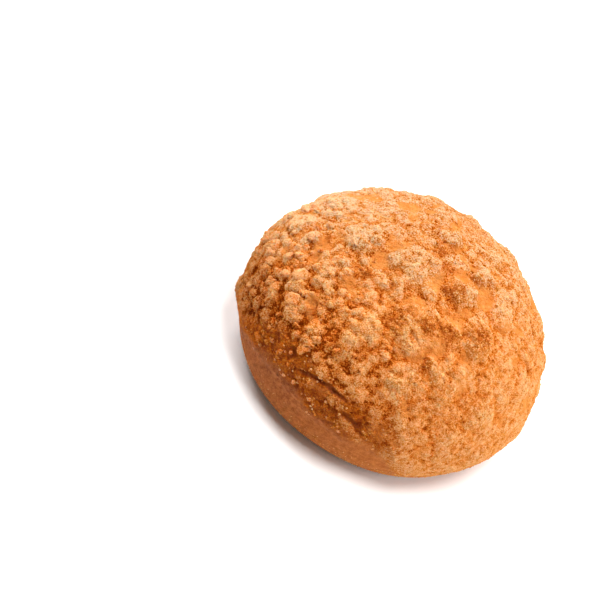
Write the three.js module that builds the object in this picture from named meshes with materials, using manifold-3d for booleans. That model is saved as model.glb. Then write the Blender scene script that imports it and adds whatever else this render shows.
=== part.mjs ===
// A round yeast bun baked under a rough coat of butter crumble. Crumble and dough bake into one piece.
// Millimetres, +Z up. The origin is the middle of the flat base that the bun rests on, and +X is bearing 0.
// A place on the bun is a bearing and a slope in degrees. Slope 0 is the crown, 90 is the widest part and 180
// is the edge of the base.

import * as THREE from 'three';
import { ConvexGeometry } from 'three/addons/geometries/ConvexGeometry.js';
import { mergeVertices } from 'three/addons/utils/BufferGeometryUtils.js';
import Module from 'manifold-3d';

const wasm = await Module();
wasm.setup();

// The dough: a domed bun, widest low down, whose side tucks under to a flat base.
const DOUGH_BREADTH = 98;
const DOUGH_HEIGHT = 56.6;
const WIDEST_HEIGHT = 18.5;
const BASE_BREADTH = 75;

// The foot: the dough sags onto the baking tray and is pressed flat, and its edge lifts off again, so the flat has
// a few soft corners. From there the foot rises outwards at an angle in degrees.
const SAG = 0.5;
const FOOT_CORNERS = 11;
const FOOT_LIFT = 12;

// Shaped by hand, it is never quite round. Each swell: how many there are round the bun, by what share of the
// radius, and at which turn in radians, at the base and then gained by the crown.
const SWELLS = [
  { around: 2, share: 0.012, turn: 0.7, gained: 0 },
  { around: 3, share: 0.007, turn: 2.1, gained: 2 },
  { around: 5, share: 0.005, turn: 0, gained: 6 },
];

// The skin's triangles come from a ball cut into even ones, which is then drawn out into the bun.
// Two circles of that ball become the widest part and the base's edge, and the rest is the sagging base.
const BALL_CUTS = 19;
const BALL_AT_WIDEST = 118;
const BALL_AT_BASE = 160;

// The crumble's edge on the side: high where the dough stays bare, and under the bulge everywhere else.
// Either way from the bare part's middle, it keeps its height for the first angle and has ended at the second.
const BARE_BEARING = 264;
const BARE_SIDE_LINE = 94;
const BARE_BACKWARDS = [26, 70];
const BARE_ONWARDS = [22, 42];
const COVERED_SIDE_LINE = 126;
const LINE_WAVE = 2.5;
const LINE_WAVES_AROUND = 7;
const WAVE_GROUPS_AROUND = 3;
const LINE_FADE = 24;

// On one side the crumble was pressed flatter from the first slope down, fully from the second.
const PRESSED_BEARING = 335;
const PRESSED_REACH = 42;
const PRESSED_SLOPES = [50, 80];
const PRESSED_SHARE = 0.45;

// Where the knobs stand highest, and how far round and down the bun that reaches.
const LUMPY_BEARING = 212;
const LUMPY_SLOPE = 62;
const LUMPY_REACH = [52, 30];
const LUMPY_RISE = [0.38, 1.08];

// The coat: a fine layer, knobs of crumble side by side on it, raised into clumps where more of it lies, and
// single crumbs pressed into it. All are spread evenly, then shaken by a share of the distance between neighbours.
// A roundness of 0.5 makes a half ball, and a higher one a mound that runs out softly.
const COAT_SEED = 20;
const FINE_LAYER = 0.5;
const KNOBS = 1300;
const KNOB_BREADTH = [3.4, 7.4];
const KNOB_RISE = [0.3, 1.9];
const SMALL_CLUMPS = 110;
const SMALL_CLUMP_BREADTH = [7, 13];
const SMALL_CLUMP_RISE = [0.4, 1.5];
const MOUND_ROUNDNESS = 0.7;
const CRUMB_SEED = 36;
const CRUMBS = 110;
const CRUMB_BREADTH = [2.8, 6.0];
const CRUMB_STANDS_OUT = 0.28;
const CRUMB_PROPORTIONS = new THREE.Vector3(1.1, 0.9, 1.0);
const CRUMB_UNEVENNESS = [0.9, 1.1];
const PLACE_SHAKE = 0.27;

// The largest clumps: bearing and slope in degrees, then breadth and rise.
const BIG_CLUMPS = [
  [199, 31, 14, 2.2],
  [234, 14, 18, 2.1],
  [107, 12, 9, 2.3],
  [325, 14, 12, 2.4],
  [15, 15, 10, 2.2],
  [276, 33, 18, 2.2],
  [320, 32, 14, 2.2],
  [283, 55, 14, 1.7],
  [296, 45, 12, 1.6],
  [219, 43, 16, 1.5],
  [252, 47, 14, 1.9],
  [227, 63, 10, 1.5],
  [348, 57, 12, 1.3],
  [355, 28, 12, 1.6],
  [174, 47, 15, 1.5],
  [187, 58, 13, 1.3],
];

const GOLDEN_ANGLE = 180 * (3 - Math.sqrt(5));
const radians = THREE.MathUtils.degToRad;
const degrees = THREE.MathUtils.radToDeg;

// A draw between two values, the same on every run: Park and Miller's generator.
function seededDraw(seed) {
  let state = seed;
  return (low, high) => {
    state = (state * 16807) % 2147483647;
    return low + (high - low) * (state / 2147483647);
  };
}

// The dough's radius and height at a slope: a quarter ellipse above the widest part and another one below it.
function doughProfile(slope) {
  const across = Math.sin(radians(slope));
  const along = Math.cos(radians(slope));
  if (slope <= 90) {
    return [(DOUGH_BREADTH / 2) * across, WIDEST_HEIGHT + (DOUGH_HEIGHT - WIDEST_HEIGHT) * along];
  }
  const tuck = (DOUGH_BREADTH - BASE_BREADTH) / 2;
  return [BASE_BREADTH / 2 + tuck * across, (WIDEST_HEIGHT + SAG) * (1 + along) - SAG];
}

function doughPoint(bearing, slope) {
  const [roundRadius, height] = doughProfile(slope);
  const turned = radians(bearing);
  let radius = roundRadius;
  for (const { around, share, turn, gained } of SWELLS) {
    radius += roundRadius * share * Math.sin(around * turned + turn + (gained * height) / DOUGH_HEIGHT);
  }
  return new THREE.Vector3(radius * Math.cos(turned), radius * Math.sin(turned), height);
}

// Where on the dough something sits: the point, and axes of which one stands out of the dough.
function seat(bearing, slope) {
  const point = doughPoint(bearing, slope);
  const down = doughPoint(bearing, slope + 0.5).sub(doughPoint(bearing, slope - 0.5)).normalize();
  const side = doughPoint(bearing + 0.5, slope).sub(doughPoint(bearing - 0.5, slope)).normalize();
  const out = new THREE.Vector3().crossVectors(down, side).normalize();
  return { point, down, side: side.crossVectors(out, down), out };
}

// How far two bearings are apart, whichever way round is shorter.
function apart(bearing, other) {
  return Math.abs(THREE.MathUtils.euclideanModulo(bearing - other + 180, 360) - 180);
}

// The share of its thickness that the crumble keeps where it was pressed.
function unpressed(bearing, slope) {
  const round = apart(bearing, PRESSED_BEARING) / PRESSED_REACH;
  return 1 - PRESSED_SHARE * Math.exp(-round * round) * THREE.MathUtils.smoothstep(slope, ...PRESSED_SLOPES);
}

// How much crumble lies at a place, from 0 below the crumble's edge to 1 well above it.
function covered(bearing, slope) {
  const ends = apart(bearing, BARE_BEARING + 90) < 90 ? BARE_ONWARDS : BARE_BACKWARDS;
  const bare = 1 - THREE.MathUtils.smoothstep(apart(bearing, BARE_BEARING), ...ends);
  const wave = LINE_WAVE * Math.sin(radians(LINE_WAVES_AROUND * bearing))
    * Math.cos(radians(WAVE_GROUPS_AROUND * bearing));
  const line = COVERED_SIDE_LINE + (BARE_SIDE_LINE - COVERED_SIDE_LINE) * bare + wave;
  return THREE.MathUtils.smoothstep(line - slope, 0, LINE_FADE) * unpressed(bearing, slope);
}

// By how much the knobs at a place rise.
function lumpy(bearing, slope) {
  const round = apart(bearing, LUMPY_BEARING) / LUMPY_REACH[0];
  const down = (slope - LUMPY_SLOPE) / LUMPY_REACH[1];
  return THREE.MathUtils.lerp(...LUMPY_RISE, Math.exp(-round * round - down * down));
}

// Bearings and slopes that cover the dome evenly: a golden spiral, each point shaken a little.
function spreadOverDome(count, draw) {
  const places = [];
  const steepest = 1 - Math.cos(radians(COVERED_SIDE_LINE + LINE_WAVE));
  const shake = PLACE_SHAKE * degrees(Math.sqrt((2 * Math.PI * steepest) / count));
  for (let i = 0; i < count; i += 1) {
    const even = degrees(Math.acos(1 - ((i + 0.5) / count) * steepest));
    const slope = Math.max(even + draw(-shake, shake), 1);
    const bearing = i * GOLDEN_ANGLE + draw(-shake, shake) / Math.sin(radians(Math.max(slope, shake)));
    places.push([bearing % 360, slope]);
  }
  return places;
}

// A mound of crumble on the dough. It is lower towards the crumble's edge.
function mound(bearing, slope, breadth, rise) {
  return { middle: doughPoint(bearing, slope), reach: breadth / 2, rise: rise * covered(bearing, slope) };
}

// The height of the highest mound over a point.
function highest(mounds, point) {
  let height = 0;
  for (const { middle, reach, rise } of mounds) {
    const away = middle.distanceTo(point) / reach;
    if (away < 1) height = Math.max(height, rise * Math.pow(1 - away * away, MOUND_ROUNDNESS));
  }
  return height;
}

// The coat of crumble, as a function that gives its thickness over any point of the dough.
function crumbleCoat(draw) {
  const clumps = BIG_CLUMPS.map((clump) => mound(...clump));
  for (const place of spreadOverDome(SMALL_CLUMPS, draw)) {
    clumps.push(mound(...place, draw(...SMALL_CLUMP_BREADTH), draw(...SMALL_CLUMP_RISE)));
  }
  const knobs = [];
  for (const place of spreadOverDome(KNOBS, draw)) {
    knobs.push(mound(...place, draw(...KNOB_BREADTH), draw(...KNOB_RISE) * lumpy(...place)));
  }
  return (bearing, slope) => {
    const point = doughPoint(bearing, slope);
    return highest(clumps, point) + highest(knobs, point) + FINE_LAYER * covered(bearing, slope);
  };
}

// The same shape with its shared vertices merged, so that moving one leaves no gap.
function merged(geometry) {
  geometry.deleteAttribute('normal');
  geometry.deleteAttribute('uv');
  return mergeVertices(geometry, 1e-4);
}

function solidOf(geometry) {
  const mesh = new wasm.Mesh({
    numProp: 3,
    vertProperties: geometry.getAttribute('position').array,
    triVerts: new Uint32Array(geometry.index.array),
  });
  return new wasm.Manifold(mesh);
}

function geometryOf(solid) {
  const mesh = solid.getMesh();
  const geometry = new THREE.BufferGeometry();
  geometry.setAttribute('position', new THREE.BufferAttribute(mesh.vertProperties, 3));
  geometry.setIndex(new THREE.BufferAttribute(mesh.triVerts, 1));
  geometry.computeVertexNormals();
  return geometry;
}

// Where on the bun a point of the evenly cut ball goes, given its angle from the ball's top.
function drawnOut(angle, bearing, coat) {
  if (angle >= BALL_AT_BASE) {
    return doughPoint(bearing, 180).multiplyScalar((180 - angle) / (180 - BALL_AT_BASE));
  }
  const slope = angle <= BALL_AT_WIDEST
    ? (90 * angle) / BALL_AT_WIDEST
    : 90 + (90 * (angle - BALL_AT_WIDEST)) / (BALL_AT_BASE - BALL_AT_WIDEST);
  const { point, out } = seat(bearing, Math.max(slope, 0.01));
  return point.addScaledVector(out, coat(bearing, slope));
}

function bunSkin(coat) {
  const ball = merged(new THREE.IcosahedronGeometry(1, BALL_CUTS));
  const place = ball.getAttribute('position');
  for (let i = 0; i < place.count; i += 1) {
    const angle = degrees(Math.acos(THREE.MathUtils.clamp(place.getZ(i), -1, 1)));
    const bearing = degrees(Math.atan2(place.getY(i), place.getX(i)));
    const at = drawnOut(angle, bearing, coat);
    place.setXYZ(i, at.x, at.y, at.z);
  }
  return ball;
}

// A single crumb: a small ball with uneven corners, half sunk in the coat.
function crumb(bearing, slope, breadth, coat, draw) {
  const ball = merged(new THREE.IcosahedronGeometry(1, 0));
  const place = ball.getAttribute('position');
  for (let i = 0; i < place.count; i += 1) {
    const reach = draw(...CRUMB_UNEVENNESS);
    place.setXYZ(i, place.getX(i) * reach, place.getY(i) * reach, place.getZ(i) * reach);
  }
  const { point, down, side, out } = seat(bearing, slope);
  const middle = point.clone().addScaledVector(out, coat(bearing, slope) + breadth * (CRUMB_STANDS_OUT - 0.5));
  const frame = new THREE.Matrix4().makeBasis(down, side, out).setPosition(middle);
  frame.multiply(new THREE.Matrix4().makeRotationZ(draw(0, Math.PI)));
  frame.scale(CRUMB_PROPORTIONS.clone().multiplyScalar(breadth / 2));
  return ball.applyMatrix4(frame);
}

// All the room that the tray leaves the bun: it widens upwards from the flat that the bun stands on.
function roomAboveTray() {
  const height = 2 * DOUGH_HEIGHT;
  const widened = BASE_BREADTH / 2 + height / Math.tan(radians(FOOT_LIFT));
  const corners = [];
  for (let i = 0; i < FOOT_CORNERS; i += 1) {
    const turned = (2 * Math.PI * i) / FOOT_CORNERS;
    corners.push(new THREE.Vector3().setFromCylindricalCoords(BASE_BREADTH / 2, turned, 0));
    corners.push(new THREE.Vector3().setFromCylindricalCoords(widened, turned, height));
  }
  return solidOf(merged(new ConvexGeometry(corners).rotateX(Math.PI / 2)));
}

function bunSolid() {
  const coat = crumbleCoat(seededDraw(COAT_SEED));
  const pieces = [solidOf(bunSkin(coat))];
  const draw = seededDraw(CRUMB_SEED);
  for (const [bearing, slope] of spreadOverDome(CRUMBS, draw)) {
    const breadth = draw(...CRUMB_BREADTH);
    if (covered(bearing, slope) > 0.5) pieces.push(solidOf(crumb(bearing, slope, breadth, coat, draw)));
  }
  return wasm.Manifold.union(pieces).intersect(roomAboveTray());
}

const crust = new THREE.MeshStandardMaterial({ color: 0xd8863f, roughness: 0.75, metalness: 0 });

const bun = new THREE.Mesh(geometryOf(bunSolid()), crust);
bun.name = 'crumb_bun';

const object = new THREE.Group();
object.add(bun);

export default object;
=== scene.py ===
# A crumb-topped yeast bun, baked in one piece with its butter crumble. Metres, +Z up, in the part's frame.
# A place on the bun is a bearing and a slope in degrees. Slope 0 is the crown, 90 is the widest part and
# 180 is the edge of the base.

import math

import bmesh
import bpy
import numpy as np
from mathutils import Matrix, Vector, kdtree, noise


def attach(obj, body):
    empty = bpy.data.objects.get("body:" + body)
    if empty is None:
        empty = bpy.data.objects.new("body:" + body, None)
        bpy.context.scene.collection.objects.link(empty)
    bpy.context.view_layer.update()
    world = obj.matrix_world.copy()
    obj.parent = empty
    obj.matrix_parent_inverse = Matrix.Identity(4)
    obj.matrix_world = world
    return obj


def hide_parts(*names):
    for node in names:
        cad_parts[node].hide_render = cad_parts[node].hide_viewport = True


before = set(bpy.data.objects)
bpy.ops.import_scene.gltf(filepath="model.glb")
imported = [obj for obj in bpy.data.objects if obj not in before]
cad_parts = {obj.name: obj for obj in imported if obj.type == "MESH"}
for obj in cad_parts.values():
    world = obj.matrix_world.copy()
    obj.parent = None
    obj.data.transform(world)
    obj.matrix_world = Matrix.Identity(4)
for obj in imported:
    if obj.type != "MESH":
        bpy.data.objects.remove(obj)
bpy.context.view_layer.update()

# The studio: a white table top, a lamp low on the right, one behind on the left, one overhead, and pale
# warm walls all round. The camera looks down on the bun, tilted so that the crown leans to the right.
VIEW_ELEVATION = math.radians(44)
CROWN_DIRECTION_IN_PICTURE = math.radians(55.3)
PICTURE_WIDTH = 600
FOCAL_LENGTH_IN_PIXELS = 1990
CAMERA_DISTANCE = 0.63
BUN_MIDDLE = Vector((0, 0, 0.0184))
BUN_MIDDLE_PIXEL = (391.5, 333.5)
SENSOR_WIDTH = 36
TABLE_SIZE = 6.0
TABLE_WHITE = (0.95, 0.95, 0.95, 1)
TABLE_ROUGHNESS = 0.9
TABLE_GLOW = 0.03
WALL_COLOUR = (1.0, 0.78, 0.56, 1)
WALL_LIGHT = 0.20
LAMP_BREADTH = 0.6
COOL_WHITE = (0.96, 1, 1.03)
PLAIN_WHITE = (1, 1, 1)

towards_camera = Vector((0, -math.cos(VIEW_ELEVATION), math.sin(VIEW_ELEVATION)))
crown_seen = Vector((0, math.sin(VIEW_ELEVATION), math.cos(VIEW_ELEVATION)))
side_seen = Vector((1, 0, 0))
turn = CROWN_DIRECTION_IN_PICTURE
picture_right = crown_seen * math.cos(turn) + side_seen * math.sin(turn)
picture_up = crown_seen * math.sin(turn) - side_seen * math.cos(turn)
pixel = CAMERA_DISTANCE / FOCAL_LENGTH_IN_PIXELS
aim_right = (PICTURE_WIDTH / 2 - BUN_MIDDLE_PIXEL[0]) * pixel
aim_up = (BUN_MIDDLE_PIXEL[1] - PICTURE_WIDTH / 2) * pixel

camera = bpy.data.objects.new("camera", bpy.data.cameras.new("camera"))
camera.data.sensor_width = SENSOR_WIDTH
camera.data.lens = FOCAL_LENGTH_IN_PIXELS / PICTURE_WIDTH * SENSOR_WIDTH
camera.data.clip_start = 0.01
stand = BUN_MIDDLE + towards_camera * CAMERA_DISTANCE + picture_right * aim_right + picture_up * aim_up
pose = Matrix((picture_right, picture_up, towards_camera)).transposed().to_4x4()
camera.matrix_world = Matrix.Translation(stand) @ pose
bpy.context.collection.objects.link(camera)
bpy.context.scene.camera = camera
bpy.context.scene.view_settings.view_transform = "Standard"


def add_lamp(name, place, power, colour):
    lamp = bpy.data.objects.new(name, bpy.data.lights.new(name, "AREA"))
    lamp.data.shape = "DISK"
    lamp.data.size = LAMP_BREADTH
    lamp.data.energy = power
    lamp.data.color = colour
    lamp.location = place
    lamp.rotation_euler = (BUN_MIDDLE - Vector(place)).to_track_quat("-Z", "Y").to_euler()
    bpy.context.collection.objects.link(lamp)


add_lamp("right_lamp", place=(0.92, 0.12, 0.38), power=7.1, colour=COOL_WHITE)
add_lamp("back_lamp", place=(-0.66, 0.32, 0.68), power=10.0, colour=COOL_WHITE)
add_lamp("overhead_lamp", place=(0.1, -0.1, 1.0), power=12.4, colour=PLAIN_WHITE)

walls = bpy.data.worlds.new("pale_walls")
walls.use_nodes = True
walls.node_tree.nodes["Background"].inputs["Color"].default_value = WALL_COLOUR
walls.node_tree.nodes["Background"].inputs["Strength"].default_value = WALL_LIGHT
bpy.context.scene.world = walls

bm = bmesh.new()
bmesh.ops.create_grid(bm, x_segments=1, y_segments=1, size=TABLE_SIZE / 2)
table_top = bpy.data.objects.new("table_top", bpy.data.meshes.new("table_top"))
bm.to_mesh(table_top.data)
bm.free()
white_table = bpy.data.materials.new("white_table")
white_table.use_nodes = True
table_surface = white_table.node_tree.nodes["Principled BSDF"]
table_surface.inputs["Base Color"].default_value = TABLE_WHITE
table_surface.inputs["Roughness"].default_value = TABLE_ROUGHNESS
table_surface.inputs["Emission Color"].default_value = (1, 1, 1, 1)
table_surface.inputs["Emission Strength"].default_value = TABLE_GLOW
table_top.data.materials.append(white_table)
bpy.context.collection.objects.link(table_top)

# The crust: a hand-shaped round of yeast dough that rose, was rolled in butter crumble and baked on a tray.
# Most of the crumble melted into one coat with the dough. Its side stays bare where the bun was held, with a
# strip above it where melted butter glazed the dough.
DOUGH_BREADTH = 0.098
DOUGH_HEIGHT = 0.0566
WIDEST_HEIGHT = 0.0185
BASE_BREADTH = 0.075
SAG = 0.0005
FOOT_LIFT = math.radians(12)
SWELLS = ((2, 0.012, 0.7, 0), (3, 0.007, 2.1, 2), (5, 0.005, 0, 6))
BALL_SUBDIVISIONS = 6
BALL_CUTS = 2
BALL_AT_WIDEST = 125
BALL_AT_BASE = 156
BARE_BEARING = 264
BARE_SIDE_LINE = 94
BARE_SIDE_LEFT = (26, 70)
BARE_SIDE_RIGHT = (22, 42)
COVERED_SIDE_LINE = 126
LINE_WAVE = 2.5
RAGGED_LINE = 2.5
RAGGED_SIZE = 0.005
LINE_WAVES_AROUND = 7
WAVE_GROUPS_AROUND = 3
LINE_FADE = 12
EDGE_THINNING = 26
CLOSE_PACKED = 0.45
CLOSE_PACKED_SIDE = (335, 42)
CLOSE_PACKED_SLOPES = (50, 80)
LUMPY_BEARING = 212
LUMPY_REACH = 52
LUMPY_SLOPE = 62
LUMPY_SLOPE_REACH = 30
LEAST_LUMPY = 0.32
LUMPY_GAIN = 0.76
GLAZED_BEARING = 250
GLAZED_REACH = 42
GLAZED_STRIP = 30
STRIP_FADE = 15
SEEP_SIZE = 0.008
SEEP_REACH = 8
UNEVEN_NOISE = (0.6, 2.0)
GLAZE_END = (-6, 8)
GLAZE_FLATTENS = 0.35
GLAZED_NUBS = 0.6
GLAZED_KNOBS = 0.1
GLAZED_GRAINS = 0.5
GOLDEN_ANGLE = 180 * (3 - math.sqrt(5))
PLACE_SHAKE = 0.27
COAT_SEED = 20
WARP_SEED = 7
KNOBS = 1300
KNOB_BREADTH = (0.0032, 0.0062)
KNOB_RISE = (0.0003, 0.0022)
KNOB_ROUNDNESS = 0.65
KNOB_SHARE = 0.9
SMALL_CLUMPS = 110
SMALL_CLUMP_BREADTH = (0.007, 0.013)
SMALL_CLUMP_RISE = (0.0004, 0.0015)
SMALL_CLUMP_ROUNDNESS = 0.9
BIG_CLUMP_ROUNDNESS = 0.8
NUBS = 5200
NUB_BREADTH = (0.0018, 0.0036)
NUB_RISE = (0.0002, 0.0011)
NUB_ROUNDNESS = 0.7
SMOOTH_SIDE_NUBS = 0.3
GRAINS = 26000
GRAIN_BREADTH = (0.0009, 0.0022)
GRAIN_RISE_SHARE = 0.36
GRAIN_ROUNDNESS = 0.5
GRAIN_SHARE = 0.75
THIN_EDGE_GRAINS = 0.4
LOOSE_FLOUR = 0.0001
MELTED = 2
DEEPEST_PIT = 0.0003
PIT_REACH = 24
CLUMP_WARP = ((0.0075, 0.0026), (0.0028, 0.0012))
KNOB_WARP = ((0.0026, 0.0008), (0.0011, 0.0003))
THIN_PATCH_SIZE = 0.009
THIN_PATCHES = (-0.7, -0.2)
THIN_PATCH_BALD = 0.8
GAP_EDGE = (0.0, 0.75)
CLUMP_IN_GAP = 0.4
CLUMP_HEIGHTS = (0.0005, 0.0014)
BALD_KNOBS_GONE = 0.5
BALD_NUBS_GONE = 0.8
BALD_GRAINS_GONE = 0.35
# Painted shade in the coat's pits, standing also for fine dark cracks.
PIT_SHADE_DEPTHS = (0.00004, 0.00016)
PIT_SHADE_REACH = 3
NEAR_REACH = 6
NEAR_RELIEF = 0.0010
WIDE_REACH = 60
WIDE_RELIEF = 0.0011
BROWNED_RELIEF = (0.15, 0.45)
WELL_COVERED = (0.5, 1)
FOOT_SLOPES = (150, 178)
# Painted light and shade on the bare skin: darker towards this bearing, paler away from it.
PAINTED_SHADE_SKIN_SIDE = (226, 52)
MM = 0.001
BIG_CLUMPS = (
    (199, 31, 14, 2.2),
    (234, 14, 18, 2.1),
    (107, 12, 9, 2.3),
    (325, 14, 12, 2.4),
    (15, 15, 10, 2.2),
    (276, 33, 18, 2.2),
    (320, 32, 14, 2.2),
    (283, 55, 14, 1.7),
    (296, 45, 12, 1.6),
    (219, 43, 16, 1.5),
    (252, 47, 14, 1.9),
    (227, 63, 10, 1.5),
    (348, 57, 12, 1.3),
    (355, 28, 12, 1.6),
    (174, 47, 15, 1.5),
    (187, 58, 13, 1.3),
)
GAPS = (
    (276, 13, 8),
    (342, 8, 9),
    (347, 20, 8),
    (289, 37, 9),
    (269, 27, 9),
    (228, 39, 7),
    (221, 25, 8),
    (258, 78, 9),
    (240, 78, 8),
    (350, 31, 8),
    (138, 30, 9),
)
CREASE_BREADTH = 0.0023
CREASE_DEPTH = 0.0004
CREASE_FLATTENS = 0.35
CREASE_STEPS = 16
RIDGE_ASIDE = 3.6
RIDGE_BREADTH = 0.0042
RIDGE_RISE = 0.0006
RIDGE_ROUNDNESS = 0.7
# The ridge beside each crease keeps less glaze, so it is paler.
RIDGE_LESS_GLAZE = 0.6
RIDGE_LESS_GLAZE_RANGE = (0.1, 0.8)
RIDGE_EVEN = 0.6
CREASES = (
    (248, 77, 257, 72.5),
    (255, 73, 270, 72.5),
    (268, 77, 281, 84),
)
BROWNED = (
    (228, 32, 7),
    (304, 14, 10),
    (263, 37, 11),
    (283, 31, 7),
    (296, 32, 8),
    (269, 30, 6),
    (285, 6, 6),
    (170, 4, 6),
    (357, 12, 8),
    (112, 6, 6),
    (321, 31, 11),
    (253, 59, 7),
    (286, 45, 6),
    (200, 44, 7),
)


def seeded_draw(seed):
    state = seed

    def draw(low, high):
        nonlocal state
        state = state * 16807 % 2147483647
        return low + (high - low) * state / 2147483647

    return draw


def dough_point(bearing, slope):
    bearing = np.asarray(bearing, float)
    slope = np.asarray(slope, float)
    turn = np.radians(bearing)
    across = np.sin(np.radians(slope))
    along = np.cos(np.radians(slope))
    tuck = (DOUGH_BREADTH - BASE_BREADTH) / 2
    upper = slope <= 90
    round_radius = np.where(upper, DOUGH_BREADTH / 2 * across, BASE_BREADTH / 2 + tuck * across)
    domed = WIDEST_HEIGHT + (DOUGH_HEIGHT - WIDEST_HEIGHT) * along
    height = np.where(upper, domed, (WIDEST_HEIGHT + SAG) * (1 + along) - SAG)
    radius = round_radius.copy()
    for around, share, start, gained in SWELLS:
        radius += round_radius * share * np.sin(around * turn + start + gained * height / DOUGH_HEIGHT)
    return np.stack([radius * np.cos(turn), radius * np.sin(turn), height], axis=-1)


def straight_out(bearing, slope):
    down = dough_point(bearing, slope + 0.5) - dough_point(bearing, slope - 0.5)
    side = dough_point(bearing + 0.5, slope) - dough_point(bearing - 0.5, slope)
    out = np.cross(down, side)
    return out / np.linalg.norm(out, axis=-1, keepdims=True)


def smooth_step(value, low, high):
    share = np.clip((value - low) / (high - low), 0, 1)
    return share * share * (3 - 2 * share)


def nearness(bearing, middle, reach):
    away = (bearing - middle + 180) % 360 - 180
    return np.exp(-((away / reach) ** 2))


def uneven_noise(points, size, octaves):
    return np.array([noise.fractal(Vector(p) / size, *UNEVEN_NOISE, octaves) for p in points])


def line_of_crumble(bearing):
    away = (bearing - BARE_BEARING + 180) % 360 - 180
    bare = 1 - np.where(away < 0, smooth_step(-away, *BARE_SIDE_LEFT), smooth_step(away, *BARE_SIDE_RIGHT))
    wave = np.sin(np.radians(LINE_WAVES_AROUND * bearing)) * np.cos(np.radians(WAVE_GROUPS_AROUND * bearing))
    return COVERED_SIDE_LINE + (BARE_SIDE_LINE - COVERED_SIDE_LINE) * bare + LINE_WAVE * wave


def spread_over_dome(count, draw):
    steepest = 1 - math.cos(math.radians(COVERED_SIDE_LINE + LINE_WAVE))
    shake = PLACE_SHAKE * math.degrees(math.sqrt(2 * math.pi * steepest / count))
    bearings = np.empty(count)
    slopes = np.empty(count)
    for i in range(count):
        even = math.degrees(math.acos(1 - (i + 0.5) / count * steepest))
        slopes[i] = max(even + draw(-shake, shake), 1)
        aside = draw(-shake, shake) / math.sin(math.radians(max(slopes[i], shake)))
        bearings[i] = (i * GOLDEN_ANGLE + aside) % 360
    return bearings, slopes


def warped_tree(points, warps):
    tree = kdtree.KDTree(len(points))
    for i, p in enumerate(points):
        place = Vector(p)
        for size, reach in warps:
            place = place + noise.noise_vector(Vector(p) / size) * reach
        tree.insert(place, i)
    tree.balance()
    return tree


def press_mounds(coat, tree, bearings, slopes, breadths, rises, roundness):
    for middle, breadth, rise in zip(dough_point(bearings, slopes), breadths, rises):
        found = tree.find_range(middle, breadth / 2)
        if rise <= 0 or not found:
            continue
        index = np.fromiter((f[1] for f in found), int)
        away = np.fromiter((f[2] for f in found), float) / (breadth / 2)
        coat[index] = np.maximum(coat[index], rise * (1 - np.minimum(away, 1) ** 2) ** roundness)


def neighbours_mean(values, edges, rounds):
    count = np.bincount(edges.ravel(), minlength=len(values))
    for _ in range(rounds):
        total = np.bincount(edges[:, 0], values[edges[:, 1]], len(values))
        total += np.bincount(edges[:, 1], values[edges[:, 0]], len(values))
        values = (values + total) / (1 + count)
    return values


bm = bmesh.new()
bmesh.ops.create_icosphere(bm, subdivisions=BALL_SUBDIVISIONS, radius=1)
bmesh.ops.subdivide_edges(bm, edges=bm.edges[:], cuts=BALL_CUTS, use_grid_fill=True)
crust_mesh = bpy.data.meshes.new("bun_crust")
bm.to_mesh(crust_mesh)
bm.free()
ball = np.empty(len(crust_mesh.vertices) * 3)
crust_mesh.vertices.foreach_get("co", ball)
ball = ball.reshape(-1, 3)
ball /= np.linalg.norm(ball, axis=1, keepdims=True)
angle = np.degrees(np.arccos(np.clip(ball[:, 2], -1, 1)))
bearing = np.degrees(np.arctan2(ball[:, 1], ball[:, 0])) % 360
slope = np.where(
    angle <= BALL_AT_WIDEST,
    90 * angle / BALL_AT_WIDEST,
    90 + 90 * (angle - BALL_AT_WIDEST) / (BALL_AT_BASE - BALL_AT_WIDEST),
)
slope = np.clip(slope, 0.01, 180)
flat = dough_point(bearing, slope)
under = angle > BALL_AT_BASE
inward = np.clip((180 - angle) / (180 - BALL_AT_BASE), 0, 1)
flat[under] *= inward[under, None]
out = straight_out(bearing, slope)
out[under] = (0, 0, -1)

edges = np.empty(len(crust_mesh.edges) * 2, int)
crust_mesh.edges.foreach_get("vertices", edges)
edges = edges.reshape(-1, 2)
ragged = uneven_noise(flat, RAGGED_SIZE, 2)
line = line_of_crumble(bearing) + RAGGED_LINE * ragged
covered = smooth_step(line - slope, 0, LINE_FADE) * ~under
lumpiest = nearness(bearing, LUMPY_BEARING, LUMPY_REACH) * nearness(slope, LUMPY_SLOPE, LUMPY_SLOPE_REACH)
lumpy = LEAST_LUMPY + LUMPY_GAIN * lumpiest
strip = smooth_step(slope, line - GLAZED_STRIP, line - GLAZED_STRIP + STRIP_FADE)
seeped = uneven_noise(flat, SEEP_SIZE, 3)
dry_below = smooth_step(slope - line + SEEP_REACH * seeped, *GLAZE_END)
glazed = strip * (1 - dry_below) * nearness(bearing, GLAZED_BEARING, GLAZED_REACH)

noise.seed_set(WARP_SEED)
clump_tree = warped_tree(flat, CLUMP_WARP)
knob_tree = warped_tree(flat, KNOB_WARP)
draw = seeded_draw(COAT_SEED)
big = np.array(BIG_CLUMPS, float)
bearings, slopes = spread_over_dome(SMALL_CLUMPS, draw)
sizes = np.array([(draw(*SMALL_CLUMP_BREADTH), draw(*SMALL_CLUMP_RISE)) for _ in range(SMALL_CLUMPS)])
clump_coat = np.zeros(len(flat))
breadths = big[:, 2] * MM
press_mounds(clump_coat, clump_tree, big[:, 0], big[:, 1], breadths, big[:, 3] * MM, BIG_CLUMP_ROUNDNESS)
press_mounds(clump_coat, clump_tree, bearings, slopes, sizes[:, 0], sizes[:, 1], SMALL_CLUMP_ROUNDNESS)
bearings, slopes = spread_over_dome(KNOBS, draw)
sizes = np.array([(draw(*KNOB_BREADTH), draw(*KNOB_RISE)) for _ in range(KNOBS)])
knob_coat = np.zeros(len(flat))
press_mounds(knob_coat, knob_tree, bearings, slopes, sizes[:, 0], sizes[:, 1], KNOB_ROUNDNESS)
bearings, slopes = spread_over_dome(NUBS, draw)
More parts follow.
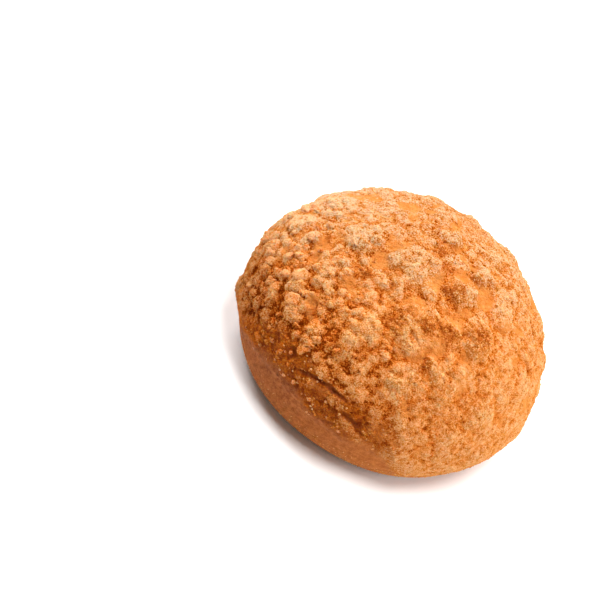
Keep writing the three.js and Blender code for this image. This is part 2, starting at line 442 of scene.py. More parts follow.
sizes = np.array([(draw(*NUB_BREADTH), draw(*NUB_RISE)) for _ in range(NUBS)])
nub_coat = np.zeros(len(flat))
press_mounds(nub_coat, knob_tree, bearings, slopes, sizes[:, 0], sizes[:, 1], NUB_ROUNDNESS)
bearings, slopes = spread_over_dome(GRAINS, draw)
breadths = np.array([draw(0, 1) ** 2 for _ in range(GRAINS)])
breadths = GRAIN_BREADTH[0] + (GRAIN_BREADTH[1] - GRAIN_BREADTH[0]) * breadths
grain_coat = np.zeros(len(flat))
rises = breadths * GRAIN_RISE_SHARE
press_mounds(grain_coat, knob_tree, bearings, slopes, breadths, rises, GRAIN_ROUNDNESS)
gap = np.zeros(len(flat))
gaps = np.array(GAPS, float)
press_mounds(gap, clump_tree, gaps[:, 0], gaps[:, 1], gaps[:, 2] * MM, np.ones(len(gaps)), 1)
crease = np.zeros(len(flat))
ridge = np.zeros(len(flat))
for bearing_from, slope_from, bearing_to, slope_to in CREASES:
    along = np.linspace(0, 1, CREASE_STEPS)
    bearings = bearing_from + along * (bearing_to - bearing_from)
    slopes = slope_from + along * (slope_to - slope_from)
    taper = 0.5 + np.sin(np.pi * along) / 2
    press_mounds(crease, knob_tree, bearings, slopes, CREASE_BREADTH * taper, taper, 1)
    beside = slopes + RIDGE_ASIDE
    press_mounds(ridge, knob_tree, bearings, beside, RIDGE_BREADTH * taper, taper, RIDGE_ROUNDNESS)
# Less glaze on the ridges.
glazed = glazed * (1 - RIDGE_LESS_GLAZE * smooth_step(ridge, *RIDGE_LESS_GLAZE_RANGE))
brown = np.zeros(len(flat))
places = np.array(BROWNED, float)
press_mounds(brown, clump_tree, places[:, 0], places[:, 1], places[:, 2] * MM, np.ones(len(places)), 1)

patches = uneven_noise(flat, THIN_PATCH_SIZE, 3)
clump = smooth_step(clump_coat, *CLUMP_HEIGHTS)
thin = 1 - np.maximum(smooth_step(patches, *THIN_PATCHES), clump)
bald = np.maximum(smooth_step(gap, *GAP_EDGE) * (1 - CLUMP_IN_GAP * clump), THIN_PATCH_BALD * thin)
form = clump_coat + KNOB_SHARE * (1 - BALD_KNOBS_GONE * bald) * lumpy * knob_coat
nubbly = (1 - BALD_NUBS_GONE * bald) * (SMOOTH_SIDE_NUBS + (1 - SMOOTH_SIDE_NUBS) * lumpy)
form = neighbours_mean(form + nubbly * nub_coat, edges, MELTED)
form = np.maximum(form, neighbours_mean(form, edges, PIT_REACH) - DEEPEST_PIT)
thickness = smooth_step(line - slope, 0, EDGE_THINNING)
grainy = LOOSE_FLOUR + (THIN_EDGE_GRAINS + (1 - THIN_EDGE_GRAINS) * thickness) * grain_coat
coat = thickness * form + covered * (GRAIN_SHARE - BALD_GRAINS_GONE * bald) * grainy
packed = nearness(bearing, *CLOSE_PACKED_SIDE) * smooth_step(slope, *CLOSE_PACKED_SLOPES)
coat = coat * (1 - CLOSE_PACKED * packed)
glazed_coat = GLAZED_NUBS * nub_coat + GLAZED_KNOBS * knob_coat + GLAZED_GRAINS * grain_coat
coat = coat * (1 - GLAZE_FLATTENS * glazed) + glazed * glazed_coat
ridge_coat = RIDGE_RISE * ridge * (RIDGE_EVEN + (1 - RIDGE_EVEN) * nub_coat / NUB_RISE[1])
coat = coat * (1 - CREASE_FLATTENS * crease) + ridge_coat - CREASE_DEPTH * crease
crust_points = flat + out * coat[:, None]
tray = np.maximum(np.hypot(flat[:, 0], flat[:, 1]) - BASE_BREADTH / 2, 0) * math.tan(FOOT_LIFT)
crust_points[:, 2] = np.maximum(crust_points[:, 2], tray)
crust_mesh.vertices.foreach_set("co", crust_points.ravel())
crust_mesh.shade_smooth()

well_covered = smooth_step(covered, *WELL_COVERED)
# Painted shade: darker where the coat lies below its neighbours.
painted_pit_shade = smooth_step(neighbours_mean(form, edges, PIT_SHADE_REACH) - form, *PIT_SHADE_DEPTHS) * well_covered
near_mean = neighbours_mean(coat, edges, NEAR_REACH)
wide_mean = neighbours_mean(near_mean, edges, WIDE_REACH)
relief = (coat - near_mean) / NEAR_RELIEF + (near_mean - wide_mean) / WIDE_RELIEF
relief = np.clip(0.5 + relief * well_covered, 0, 1)
brown = brown * smooth_step(relief, *BROWNED_RELIEF)
browned_foot = smooth_step(slope, *FOOT_SLOPES)
# Painted light and shade on the bare skin, by bearing.
painted_lit_skin_side = 1 - nearness(bearing, *PAINTED_SHADE_SKIN_SIDE)
for name, values in (
    ("covered", covered),
    ("relief", relief),
    ("bald", bald),
    ("brown", brown),
    ("painted_pit_shade", painted_pit_shade),
    ("crease", crease),
    ("painted_lit_skin_side", painted_lit_skin_side),
    ("glazed", glazed),
    ("foot", browned_foot),
):
    attribute = crust_mesh.attributes.new(name, "FLOAT", "POINT")
    attribute.data.foreach_set("value", values.astype(np.float32))
crust_mesh.update()
bun_crust = bpy.data.objects.new("bun_crust", crust_mesh)
bpy.context.collection.objects.link(bun_crust)


def link_value(tree, node, socket, value):
    if isinstance(value, bpy.types.NodeSocket):
        tree.links.new(value, node.inputs[socket])
    else:
        node.inputs[socket].default_value = value


def add_noise(tree, place, scale, detail=2.0, roughness=0.5):
    node = tree.nodes.new("ShaderNodeTexNoise")
    tree.links.new(place, node.inputs["Vector"])
    node.inputs["Scale"].default_value = scale
    node.inputs["Detail"].default_value = detail
    node.inputs["Roughness"].default_value = roughness
    return node.outputs["Fac"]


def add_math(tree, operation, first, second, clamp=False):
    node = tree.nodes.new("ShaderNodeMath")
    node.operation = operation
    node.use_clamp = clamp
    link_value(tree, node, 0, first)
    link_value(tree, node, 1, second)
    return node.outputs[0]


def add_share(tree, value, share, onto):
    node = tree.nodes.new("ShaderNodeMath")
    node.operation = "MULTIPLY_ADD"
    link_value(tree, node, 0, value)
    link_value(tree, node, 1, share)
    link_value(tree, node, 2, onto)
    return node.outputs[0]


def add_range(tree, value, low, high, new_low=0.0, new_high=1.0):
    node = tree.nodes.new("ShaderNodeMapRange")
    node.interpolation_type = "SMOOTHSTEP"
    tree.links.new(value, node.inputs["Value"])
    node.inputs["From Min"].default_value = low
    node.inputs["From Max"].default_value = high
    node.inputs["To Min"].default_value = new_low
    node.inputs["To Max"].default_value = new_high
    return node.outputs["Result"]


def add_ramp(tree, value, stops):
    node = tree.nodes.new("ShaderNodeValToRGB")
    tree.links.new(value, node.inputs["Fac"])
    marks = node.color_ramp.elements
    while len(marks) < len(stops):
        marks.new(0.5)
    for mark, (place, colour) in zip(marks, stops):
        mark.position = place
        mark.color = (*colour, 1)
    return node.outputs["Color"]


def add_mix(tree, share, first, second, blend="MIX"):
    node = tree.nodes.new("ShaderNodeMix")
    node.data_type = "RGBA"
    node.blend_type = blend
    link_value(tree, node, "Factor", share)
    for socket, colour in (("A", first), ("B", second)):
        target = [i for i in node.inputs if i.name == socket and i.type == "RGBA"][0]
        if isinstance(colour, bpy.types.NodeSocket):
            tree.links.new(colour, target)
        else:
            target.default_value = (*colour, 1)
    return [o for o in node.outputs if o.type == "RGBA"][0]


def add_side(tree, place, direction, near, far):
    node = tree.nodes.new("ShaderNodeVectorMath")
    node.operation = "DOT_PRODUCT"
    node.inputs[1].default_value = direction
    tree.links.new(place, node.inputs[0])
    return add_range(tree, node.outputs["Value"], near, far)


def add_attribute(tree, name):
    node = tree.nodes.new("ShaderNodeAttribute")
    node.attribute_name = name
    return node.outputs["Fac"]


# Oven browning with painted light, shared by the crust and the crumbs: pale tan tops, orange flanks and brown
# hollows, the hollows darker partly as painted shade. It also paints light by side: a painted sheen on the
# side facing up and back, painted light on the upper left, and painted shade on the lower front-left side and
# in its hollows. A pattern is its scale per metre, detail, roughness and share of the baked tone. A side is
# the direction it faces, and how far out it starts and is full, in metres. A range is from, to, and the two
# shares that it gives.
PALE_TAN = (0.72, 0.37, 0.158)
TAN = (0.66, 0.266, 0.092)
GOLD = (0.58, 0.182, 0.034)
RUST = (0.42, 0.092, 0.007)
DARK_BROWN = (0.19, 0.032, 0.002)
# Painted shade: hollows of the relief are tinted darker and warmer.
PAINTED_HOLLOW_SHADE_TINT = (0.98, 0.82, 0.52)
# Painted sheen: pale crumble turns creamier on the side facing up and back.
PAINTED_SHEEN_TINT = (0.88, 1.06, 1.42)
# Painted shade: crust and crumbs darker on the side facing left, front and down.
PAINTED_SHADE_TINT = (0.61, 0.58, 0.57)
BAKE_COLOURS = ((0.0, PALE_TAN), (0.28, TAN), (0.55, GOLD), (0.80, RUST), (1.0, DARK_BROWN))
HOLLOW_SHADE_TINTS = ((0.1, PAINTED_HOLLOW_SHADE_TINT), (0.55, (1, 1, 1)))
BAKE_START = -1.87
PATCHES = (60, 3, 0.6, 0.35)
MOTTLES = (240, 3, 0.6, 0.35)
GRAIN_PATTERN = (640, 3, 0.65, 1.7)
SPECKS = (2300, 2, 0.6, 1.8)
TONE_SHARE = 0.7
RELIEF_SHARE = -0.2
# Towards this side the crumble is paler with more specks, and its hollows get painted shade.
SPECKLED_SIDE_WITH_SHADE = ((-0.40, -0.88, -0.30), 0.010, 0.044)
SPECKLED_LIGHTER = -0.29
# Painted sheen: the side facing up and back is paler, with more specks.
PAINTED_SHEEN_SIDE = ((-0.25, 0.45, 0.84), 0.024, 0.053)
PAINTED_SHEEN_LIGHTER = -0.42
SIDE_SPECKS = 0.9
# Painted light: the side facing up and to the left is paler.
PAINTED_LIGHT_SIDE = ((-0.80, 0.20, 0.57), 0.044, 0.056)
PAINTED_LIGHT_PALER = -0.17
PAINTED_SHADE_SIDE = ((-0.80, -0.50, -0.33), 0.023, 0.043)
HOLLOW_SHADE_DEPTHS = (0.5, 0.0, 0.0, 0.5)
PAINTED_SHEEN_BAKES = (1.0, 0.25)

oven_browning_and_painted_light = bpy.data.node_groups.new("oven_browning_and_painted_light", "ShaderNodeTree")
oven_browning_and_painted_light.interface.new_socket("Relief", in_out="INPUT", socket_type="NodeSocketFloat")
oven_browning_and_painted_light.interface.new_socket("Tone", in_out="INPUT", socket_type="NodeSocketFloat")
oven_browning_and_painted_light.interface.new_socket("Colour", in_out="OUTPUT", socket_type="NodeSocketColor")
oven_browning_and_painted_light.interface.new_socket("Height", in_out="OUTPUT", socket_type="NodeSocketFloat")
group_in = oven_browning_and_painted_light.nodes.new("NodeGroupInput")
group_out = oven_browning_and_painted_light.nodes.new("NodeGroupOutput")
place = oven_browning_and_painted_light.nodes.new("ShaderNodeTexCoord").outputs["Object"]
bake_and_painted_light = BAKE_START
patterns = []
for *pattern, share in (PATCHES, MOTTLES, GRAIN_PATTERN, SPECKS):
    patterns.append(add_noise(oven_browning_and_painted_light, place, *pattern))
    bake_and_painted_light = add_share(oven_browning_and_painted_light, patterns[-1], share, bake_and_painted_light)
grain, speck = patterns[-2:]
bake_and_painted_light = add_share(oven_browning_and_painted_light, group_in.outputs["Tone"], TONE_SHARE, bake_and_painted_light)
bake_and_painted_light = add_share(oven_browning_and_painted_light, group_in.outputs["Relief"], RELIEF_SHARE, bake_and_painted_light)
speckled_side_with_shade = add_side(oven_browning_and_painted_light, place, *SPECKLED_SIDE_WITH_SHADE)
painted_sheen_side = add_side(oven_browning_and_painted_light, place, *PAINTED_SHEEN_SIDE)
for side, lighter in ((speckled_side_with_shade, SPECKLED_LIGHTER), (painted_sheen_side, PAINTED_SHEEN_LIGHTER)):
    bake_and_painted_light = add_share(oven_browning_and_painted_light, side, lighter, bake_and_painted_light)
    side_speck = add_math(oven_browning_and_painted_light, "MULTIPLY", speck, side)
    bake_and_painted_light = add_share(oven_browning_and_painted_light, side_speck, SIDE_SPECKS, bake_and_painted_light)
# Painted light on the upper left side.
bake_and_painted_light = add_share(oven_browning_and_painted_light, add_side(oven_browning_and_painted_light, place, *PAINTED_LIGHT_SIDE), PAINTED_LIGHT_PALER, bake_and_painted_light)
# Painted shade: hollows darker on the lower front side.
hollow_shade = add_range(oven_browning_and_painted_light, group_in.outputs["Relief"], *HOLLOW_SHADE_DEPTHS)
painted_side_shade = add_math(oven_browning_and_painted_light, "MULTIPLY", hollow_shade, speckled_side_with_shade)
bake_and_painted_light = add_math(oven_browning_and_painted_light, "ADD", bake_and_painted_light, painted_side_shade, clamp=True)
# Painted sheen, only where the crumble is pale.
painted_sheen = add_math(oven_browning_and_painted_light, "MULTIPLY", painted_sheen_side, add_range(oven_browning_and_painted_light, bake_and_painted_light, *PAINTED_SHEEN_BAKES))
# Painted shade on the lower front-left side.
painted_shade = add_side(oven_browning_and_painted_light, place, *PAINTED_SHADE_SIDE)
colour = add_ramp(oven_browning_and_painted_light, bake_and_painted_light, BAKE_COLOURS)
# Tints: painted shade in hollows, a painted sheen facing up and back, painted shade on the lower front-left
# side.
for tint in (
    add_ramp(oven_browning_and_painted_light, group_in.outputs["Relief"], HOLLOW_SHADE_TINTS),
    add_mix(oven_browning_and_painted_light, painted_sheen, (1, 1, 1), PAINTED_SHEEN_TINT),
    add_mix(oven_browning_and_painted_light, painted_shade, (1, 1, 1), PAINTED_SHADE_TINT),
):
    colour = add_mix(oven_browning_and_painted_light, 1.0, colour, tint, "MULTIPLY")
height = add_math(oven_browning_and_painted_light, "ADD", grain, speck)
oven_browning_and_painted_light.links.new(colour, group_out.inputs["Colour"])
oven_browning_and_painted_light.links.new(height, group_out.inputs["Height"])


def browning_and_painted_light(tree, relief, tone):
    node = tree.nodes.new("ShaderNodeGroup")
    node.node_tree = oven_browning_and_painted_light
    link_value(tree, node, "Relief", relief)
    link_value(tree, node, "Tone", tone)
    return node.outputs["Colour"], node.outputs["Height"]


def add_bump(tree, height, distance):
    node = tree.nodes.new("ShaderNodeBump")
    tree.links.new(height, node.inputs["Height"])
    node.inputs["Distance"].default_value = distance
    return node.outputs["Normal"]


LIGHT_REACH = (1.0, 0.35, 0.12)
LIGHT_DEPTH = 0.0012
LIGHT_SHARE = 0.45
SMOOTH_DOUGH = (0.66, 0.265, 0.070)
DEEP_DOUGH = (0.54, 0.145, 0.020)
WALNUT = (0.43, 0.105, 0.018)
GLAZE_DARK = (0.25, 0.042, 0.001)
GLAZE_GOLD = (0.50, 0.120, 0.006)
BARE_SKIN = (0.38, 0.110, 0.028)
BARE_SKIN_DARK = (0.17, 0.040, 0.005)
PAINTED_LIT_SKIN = (0.56, 0.175, 0.038)
PAINTED_LIT_SKIN_DARK = (0.37, 0.095, 0.016)
FOOT_BROWN = (0.27, 0.08, 0.016)
CREASE_BROWN = (0.33, 0.08, 0.018)
RED_SPOT_AND_SHADE = (0.17, 0.022, 0.002)
DOUGH_MOTTLE = (330, 5, 0.8)
DOUGH_COLOURS = ((0.36, SMOOTH_DOUGH), (0.66, DEEP_DOUGH))
GLAZE_SPECKS = (1500, 3, 0.8)
GLAZE_COLOURS = ((0.42, GLAZE_DARK), (0.58, GLAZE_GOLD))
RED_SPOT_PATTERN = (330, 4, 0.8)
RED_SPOT_RANGE = (0.50, 0.64, 0.0, 0.7)
# Painted shade: the glaze is redder and darker in its hollows.
GLAZE_SHADE_RANGE = (0.5, 0.2, 0.0, 0.6)
SKIN_MOTTLE = (520, 5, 0.9)
SKIN_COLOURS = ((0.40, BARE_SKIN_DARK), (0.60, BARE_SKIN))
PAINTED_LIT_SKIN_COLOURS = ((0.40, PAINTED_LIT_SKIN_DARK), (0.60, PAINTED_LIT_SKIN))
CRUST_TONE = 0.36
BROWN_TONE = 0.8
PIT_SHADE_TONE = 0.75
WALNUT_SHARE = 0.5
BALD_RANGE = (0.25, 0.85, 0.0, 0.75)
GLAZE_RANGE = (0.1, 0.7, 0.0, 0.95)
CREASE_RANGE = (0.1, 0.9, 0.0, 0.6)
BARE_GLOSS_RANGE = (0.0, 0.8, 0.10, 0.0)
GLAZE_GLOSS = 0.06
GLOSS_ROUGHNESS = 0.35
ROUGHNESS_RANGE = (0.1, 0.8, 0.7, 0.42)
GLAZE_BUMP_GAIN = 0.8
CRUST_BUMP = 0.0007

crust_bake = bpy.data.materials.new("crust_bake")
crust_bake.use_nodes = True
tree = crust_bake.node_tree
skin = tree.nodes["Principled BSDF"]
place = tree.nodes.new("ShaderNodeTexCoord").outputs["Object"]
covered_mask = add_attribute(tree, "covered")
relief_mask = add_attribute(tree, "relief")
bald_mask = add_attribute(tree, "bald")
glazed_mask = add_attribute(tree, "glazed")
foot_mask = add_attribute(tree, "foot")
brown_mask = add_attribute(tree, "brown")
brown_tone = add_share(tree, brown_mask, BROWN_TONE, CRUST_TONE)
# Painted pit shade darkens the crumble.
brown_tone = add_share(tree, add_attribute(tree, "painted_pit_shade"), PIT_SHADE_TONE, brown_tone)
crumble_colour, crumble_height = browning_and_painted_light(tree, relief_mask, brown_tone)
walnut = add_math(tree, "MULTIPLY", brown_mask, WALNUT_SHARE)
crumble_colour = add_mix(tree, walnut, crumble_colour, WALNUT)
dough_colour = add_ramp(tree, add_noise(tree, place, *DOUGH_MOTTLE), DOUGH_COLOURS)
glaze_colour = add_ramp(tree, add_noise(tree, place, *GLAZE_SPECKS), GLAZE_COLOURS)
red_spots = add_range(tree, add_noise(tree, place, *RED_SPOT_PATTERN), *RED_SPOT_RANGE)
glaze_colour = add_mix(tree, red_spots, glaze_colour, RED_SPOT_AND_SHADE)
# Painted shade in the glaze's hollows.
painted_glaze_shade = add_range(tree, relief_mask, *GLAZE_SHADE_RANGE)
glaze_colour = add_mix(tree, painted_glaze_shade, glaze_colour, RED_SPOT_AND_SHADE)
skin_mottle = add_noise(tree, place, *SKIN_MOTTLE)
skin_colour = add_ramp(tree, skin_mottle, SKIN_COLOURS)
painted_lit_skin = add_ramp(tree, skin_mottle, PAINTED_LIT_SKIN_COLOURS)
# Painted light: the bare skin paler away from the lower left.
skin_colour = add_mix(tree, add_attribute(tree, "painted_lit_skin_side"), skin_colour, painted_lit_skin)
colour = add_mix(tree, add_range(tree, bald_mask, *BALD_RANGE), crumble_colour, dough_colour)
colour = add_mix(tree, add_range(tree, glazed_mask, *GLAZE_RANGE), colour, glaze_colour)
colour = add_mix(tree, add_range(tree, covered_mask, 0.0, 1.0), skin_colour, colour)
crease_mask = add_range(tree, add_attribute(tree, "crease"), *CREASE_RANGE)
colour = add_mix(tree, crease_mask, colour, CREASE_BROWN)
colour = add_mix(tree, foot_mask, colour, FOOT_BROWN)
tree.links.new(colour, skin.inputs["Base Color"])
bare_gloss = add_range(tree, covered_mask, *BARE_GLOSS_RANGE)
tree.links.new(add_share(tree, glazed_mask, GLAZE_GLOSS, bare_gloss), skin.inputs["Coat Weight"])
skin.inputs["Coat Roughness"].default_value = GLOSS_ROUGHNESS
skin.inputs["Specular IOR Level"].default_value = 0.0
skin.inputs["Subsurface Weight"].default_value = LIGHT_SHARE
skin.inputs["Subsurface Radius"].default_value = LIGHT_REACH
skin.inputs["Subsurface Scale"].default_value = LIGHT_DEPTH
tree.links.new(add_range(tree, glazed_mask, *ROUGHNESS_RANGE), skin.inputs["Roughness"])
bump_gain = add_share(tree, glazed_mask, GLAZE_BUMP_GAIN, 1.0)
crust_height = add_math(tree, "MULTIPLY", crumble_height, bump_gain)
tree.links.new(add_bump(tree, crust_height, CRUST_BUMP), skin.inputs["Normal"])
crust_mesh.materials.append(crust_bake)
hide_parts("crumb_bun")
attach(bun_crust, "root")

# The crumbs: bits of butter crumble that kept their own shape, from lumps of 4 mm down to single grains.
# They are sugar, flour and butter, half sunk in the coat and baked onto it.
CRUMB_SEED = 36
CRUMB_SHAPES = 14
CRUMB_STRETCH = (0.68, 1.3)
CRUMB_UNEVENNESS = 0.5
CRUMB_ROUGHNESS = 0.85
CRUMB_BUMP = 0.00025
WET_RANGE = (0.1, 0.8, 0.0, 0.4)
CRUMBLY_RANGE = (0.3, 1)
BALD_CRUMBS_GONE = 0.85
UNDER_TONE = 0.42
BROWN_UNDER = 0.6
# Crumbs in the coat's hollows take a darker tone: partly browner crumble, partly painted shade.
RELIEF_UNDER = 0.85
GLAZED_UNDER = 0.3
LUMPS = 200
LUMP_BREADTH = (0.0022, 0.0042)
LUMP_UNEVENNESS = 0.42
LUMP_TONES = (-0.25, 0.15)
LUMP_SUNK = 0.38
LUMPS_LEAN_SMALL = 1.8
LUMPY_ENOUGH = 0.46
LUMPS_FROM = 0.3
GLAZED_LUMPS_GONE = 0.75
COARSE_CRUMBS = 1500
COARSE_BREADTH = (0.0009, 0.0018)
COARSE_LEAN_SMALL = 2
COARSE_TONES = (-0.35, 0.25)
COARSE_BETWEEN_CLUMPS = 0.3
COARSE_ON_GLAZE = 0.2
COARSE_SUNK = 0.40
RIM_SIDE = (295, 32)
RIM_BREADTH = 5
RIM_CRUMBS = 5
RIM_PALER = 0.5
FINE_CRUMBS = 9500
FINE_BREADTH = (0.0005, 0.0010)
FINE_LEAN_SMALL = 1.5
FINE_SUNK = 0.36
FINE_BETWEEN_CLUMPS = 0.5
FINE_IN_HOLLOWS = 0.3
GLAZED_FINE_GONE = 0.3

random = np.random.default_rng(CRUMB_SEED)


def crumb_shape(start, unevenness, seed):
    bm = bmesh.new()
    if start == "ball":
        bmesh.ops.create_icosphere(bm, subdivisions=3, radius=1)
    elif start == "block":
        bmesh.ops.create_cube(bm, size=2)
        bmesh.ops.subdivide_edges(bm, edges=bm.edges[:], cuts=1, use_grid_fill=True)
    else:
        bmesh.ops.create_icosphere(bm, subdivisions=1, radius=1)
    bmesh.ops.triangulate(bm, faces=bm.faces[:])
    points = np.array([v.co.normalized() for v in bm.verts])
    faces = np.array([[v.index for v in f.verts] for f in bm.faces])
    bm.free()
    shift = Vector((seed * 7.3, seed * 3.1, seed * 5.7))
    swell = np.array([noise.fractal(Vector(p) * 1.3 + shift, 0.8, 2.1, 4) for p in points])
    return points * (1 + unevenness * swell)[:, None], faces


def random_turns(count):
    q = random.normal(size=(count, 4))
    w, x, y, z = (q / np.linalg.norm(q, axis=1, keepdims=True)).T
    rows = (
        (1 - 2 * (y * y + z * z), 2 * (x * y - z * w), 2 * (x * z + y * w)),
        (2 * (x * y + z * w), 1 - 2 * (x * x + z * z), 2 * (y * z - x * w)),
        (2 * (x * z - y * w), 2 * (y * z + x * w), 1 - 2 * (x * x + y * y)),
    )
    return np.moveaxis(np.array(rows), -1, 0)


def triangles_of(mesh):
    mesh.calc_loop_triangles()
    corners = np.empty(len(mesh.loop_triangles) * 3, int)
    mesh.loop_triangles.foreach_get("vertices", corners)
    points = np.empty(len(mesh.vertices) * 3)
    mesh.vertices.foreach_get("co", points)
    points = points.reshape(-1, 3)
    return points, corners.reshape(-1, 3)


def spots_on(points, corners, wanted, count):
    a, b, c = (points[corners[:, k]] for k in range(3))
    normal = np.cross(b - a, c - a)
    area = np.linalg.norm(normal, axis=1)
    chance = area * wanted
    picked = random.choice(len(corners), size=count, p=chance / chance.sum())
    u, v = random.random((2, count, 1))
    fold = (u + v) > 1
    u, v = np.where(fold, 1 - u, u), np.where(fold, 1 - v, v)
    spot = a[picked] + u * (b - a)[picked] + v * (c - a)[picked]
    return spot, (normal / area[:, None])[picked], picked


def join_crumbs(name, shapes, spots, normals, breadths, sunk, tones, wet):
    turns = random_turns(len(spots))
    stretch = random.uniform(*CRUMB_STRETCH, (len(spots), 3))
    kinds = random.integers(len(shapes), size=len(spots))
    all_points, all_faces = [], []
    sizes = [len(shapes[kind][0]) for kind in kinds]
    start = 0
    for i in range(len(spots)):
        points, faces = shapes[kinds[i]]
        placed = (points * stretch[i]) @ turns[i].T * (breadths[i] / 2)
        all_points.append(placed + spots[i] - normals[i] * breadths[i] * sunk)
        all_faces.append(faces + start)
        start += len(points)
    mesh = bpy.data.meshes.new(name)
    mesh.from_pydata(np.concatenate(all_points), [], np.concatenate(all_faces))
    mesh.shade_smooth()
    for mark, values in (("tone", tones), ("wet", wet)):
        attribute = mesh.attributes.new(mark, "FLOAT", "POINT")
        attribute.data.foreach_set("value", np.repeat(values, sizes).astype(np.float32))
    piece = bpy.data.objects.new(name, mesh)
    bpy.context.collection.objects.link(piece)
    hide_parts("crumb_bun")
    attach(piece, "root")
    return piece


def mixed_breadths(limits, count, leans_small):
    return limits[0] + (limits[1] - limits[0]) * random.random(count) ** leans_small


def face_mean(values, face_corners):
    return values[face_corners].mean(axis=1)


def crumb_material(name):
    material = bpy.data.materials.new(name)
    material.use_nodes = True
    tree = material.node_tree
    surface = tree.nodes["Principled BSDF"]
    colour, height = browning_and_painted_light(tree, 0.5, add_attribute(tree, "tone"))
    wet_mask = add_range(tree, add_attribute(tree, "wet"), *WET_RANGE)
    tree.links.new(add_mix(tree, wet_mask, colour, GLAZE_GOLD), surface.inputs["Base Color"])
    surface.inputs["Roughness"].default_value = CRUMB_ROUGHNESS
    surface.inputs["Subsurface Weight"].default_value = LIGHT_SHARE
    surface.inputs["Subsurface Radius"].default_value = LIGHT_REACH
    surface.inputs["Subsurface Scale"].default_value = LIGHT_DEPTH
    surface.inputs["Specular IOR Level"].default_value = 0.0
    tree.links.new(add_bump(tree, height, CRUMB_BUMP), surface.inputs["Normal"])
    return material


points, corners = triangles_of(crust_mesh)
crumbly = smooth_step(covered, *CRUMBLY_RANGE) * (1 - BALD_CRUMBS_GONE * bald) * (1 - crease)
# Darker in hollows: partly painted shade.
under_tone = UNDER_TONE + BROWN_UNDER * brown - RELIEF_UNDER * (relief - 0.5) + GLAZED_UNDER * glazed

wanted = face_mean(crumbly * (lumpy - LUMPS_FROM) ** 2 * (1 - GLAZED_LUMPS_GONE * glazed), corners)
spots, normals, picked = spots_on(points, corners, wanted, LUMPS)
breadths = mixed_breadths(LUMP_BREADTH, LUMPS, LUMPS_LEAN_SMALL)
breadths = np.where(face_mean(lumpy, corners[picked]) < LUMPY_ENOUGH, COARSE_BREADTH[0], breadths)
shapes = [crumb_shape("ball", LUMP_UNEVENNESS, k) for k in range(CRUMB_SHAPES)]
tones = face_mean(under_tone, corners[picked]) + random.uniform(*LUMP_TONES, LUMPS)
wet = face_mean(glazed, corners[picked])
lumps = join_crumbs("crumble_lumps", shapes, spots, normals, breadths, LUMP_SUNK, tones, wet)
lumps.data.materials.append(crumb_material("lump_bake"))

rim = np.exp(-(((line - slope) / RIM_BREADTH - 1) ** 2)) * nearness(bearing, *RIM_SIDE)
on_clumps = COARSE_BETWEEN_CLUMPS + (1 - COARSE_BETWEEN_CLUMPS) * clump
spread = crumbly * on_clumps * (1 + COARSE_ON_GLAZE * glazed)
wanted = face_mean(spread + RIM_CRUMBS * covered * rim, corners)
spots, normals, picked = spots_on(points, corners, wanted, COARSE_CRUMBS)
breadths = mixed_breadths(COARSE_BREADTH, COARSE_CRUMBS, COARSE_LEAN_SMALL)
shapes = [crumb_shape("block", CRUMB_UNEVENNESS, k) for k in range(CRUMB_SHAPES)]
tones = face_mean(under_tone - RIM_PALER * covered * rim, corners[picked])
tones = tones + random.uniform(*COARSE_TONES, COARSE_CRUMBS)
wet = face_mean(glazed, corners[picked])
coarse = join_crumbs("coarse_crumbs", shapes, spots, normals, breadths, COARSE_SUNK, tones, wet)
coarse.data.materials.append(crumb_material("coarse_crumb_bake"))

on_clumps = FINE_BETWEEN_CLUMPS + (1 - FINE_BETWEEN_CLUMPS) * clump
spread = crumbly * on_clumps * (FINE_IN_HOLLOWS + relief) * (1 - GLAZED_FINE_GONE * glazed)
wanted = face_mean(spread, corners)
shapes = [crumb_shape("grain", CRUMB_UNEVENNESS, k) for k in range(CRUMB_SHAPES)]
for name, lighter, darker in (
    ("pale_crumbs", -0.4, 0.0),
    ("golden_crumbs", -0.2, 0.2),
    ("browned_crumbs", 0.0, 0.4),
):
    spots, normals, picked = spots_on(points, corners, wanted, FINE_CRUMBS)
    breadths = mixed_breadths(FINE_BREADTH, FINE_CRUMBS, FINE_LEAN_SMALL)
    tones = face_mean(under_tone, corners[picked]) + random.uniform(lighter, darker, FINE_CRUMBS)
    wet = face_mean(glazed, corners[picked])
    fine = join_crumbs(name, shapes, spots, normals, breadths, FINE_SUNK, tones, wet)
    fine.data.materials.append(crumb_material(name + "_bake"))

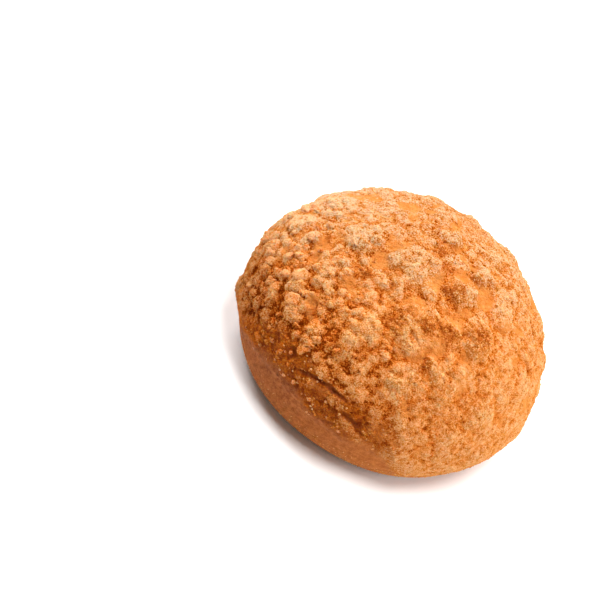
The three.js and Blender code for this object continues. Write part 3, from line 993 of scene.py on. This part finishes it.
# Stray crumbs: a few round buttery ones that stuck in the glazed strip, and a dusting of fine ones near the
# foot of the bare side. They are the same crumble, baked onto the dough; the foot ones get pale tones as a
# painted rim light along the lower outline.
GLAZED_CRUMBS = 45
GLAZED_BREADTH = (0.0007, 0.0017)
GLAZED_UNEVENNESS = 0.3
GLAZED_TONES = (-0.1, 0.4)
GLAZED_SUNK = 0.25
GLAZED_ROUGHNESS = 0.3
GLAZED_SHINE = 0.12
FOOT_CRUMBS = 1600
FOOT_BREADTH = (0.0003, 0.0007)
# Pale tones: a painted rim light along the lower outline.
FOOT_RIM_LIGHT_TONES = (-0.6, 0.2)
FOOT_SUNK = 0.3
FOOT_CRUMBS_BEGIN = (105, 125)
FOOT_CRUMBS_END = (140, 165)

wanted = face_mean(glazed ** 2, corners)
spots, normals, picked = spots_on(points, corners, wanted, GLAZED_CRUMBS)
breadths = mixed_breadths(GLAZED_BREADTH, GLAZED_CRUMBS, FINE_LEAN_SMALL)
shapes = [crumb_shape("ball", GLAZED_UNEVENNESS, k) for k in range(CRUMB_SHAPES)]
tones = random.uniform(*GLAZED_TONES, GLAZED_CRUMBS)
wet = np.zeros(GLAZED_CRUMBS)
glazed_crumbs = join_crumbs("glazed_crumbs", shapes, spots, normals, breadths, GLAZED_SUNK, tones, wet)
glazed_crumbs.data.materials.append(crumb_material("glazed_crumb_bake"))
glazed_surface = glazed_crumbs.data.materials[0].node_tree.nodes["Principled BSDF"]
glazed_surface.inputs["Roughness"].default_value = GLAZED_ROUGHNESS
glazed_surface.inputs["Specular IOR Level"].default_value = GLAZED_SHINE

near_foot = smooth_step(slope, *FOOT_CRUMBS_BEGIN) * (1 - smooth_step(slope, *FOOT_CRUMBS_END))
wanted = face_mean(near_foot * (1 - covered), corners)
spots, normals, picked = spots_on(points, corners, wanted, FOOT_CRUMBS)
breadths = mixed_breadths(FOOT_BREADTH, FOOT_CRUMBS, FINE_LEAN_SMALL)
shapes = [crumb_shape("grain", CRUMB_UNEVENNESS, k) for k in range(CRUMB_SHAPES)]
tones = random.uniform(*FOOT_RIM_LIGHT_TONES, FOOT_CRUMBS)
wet = np.zeros(FOOT_CRUMBS)
foot_crumbs = join_crumbs("foot_crumbs", shapes, spots, normals, breadths, FOOT_SUNK, tones, wet)
foot_crumbs.data.materials.append(crumb_material("foot_crumb_bake"))
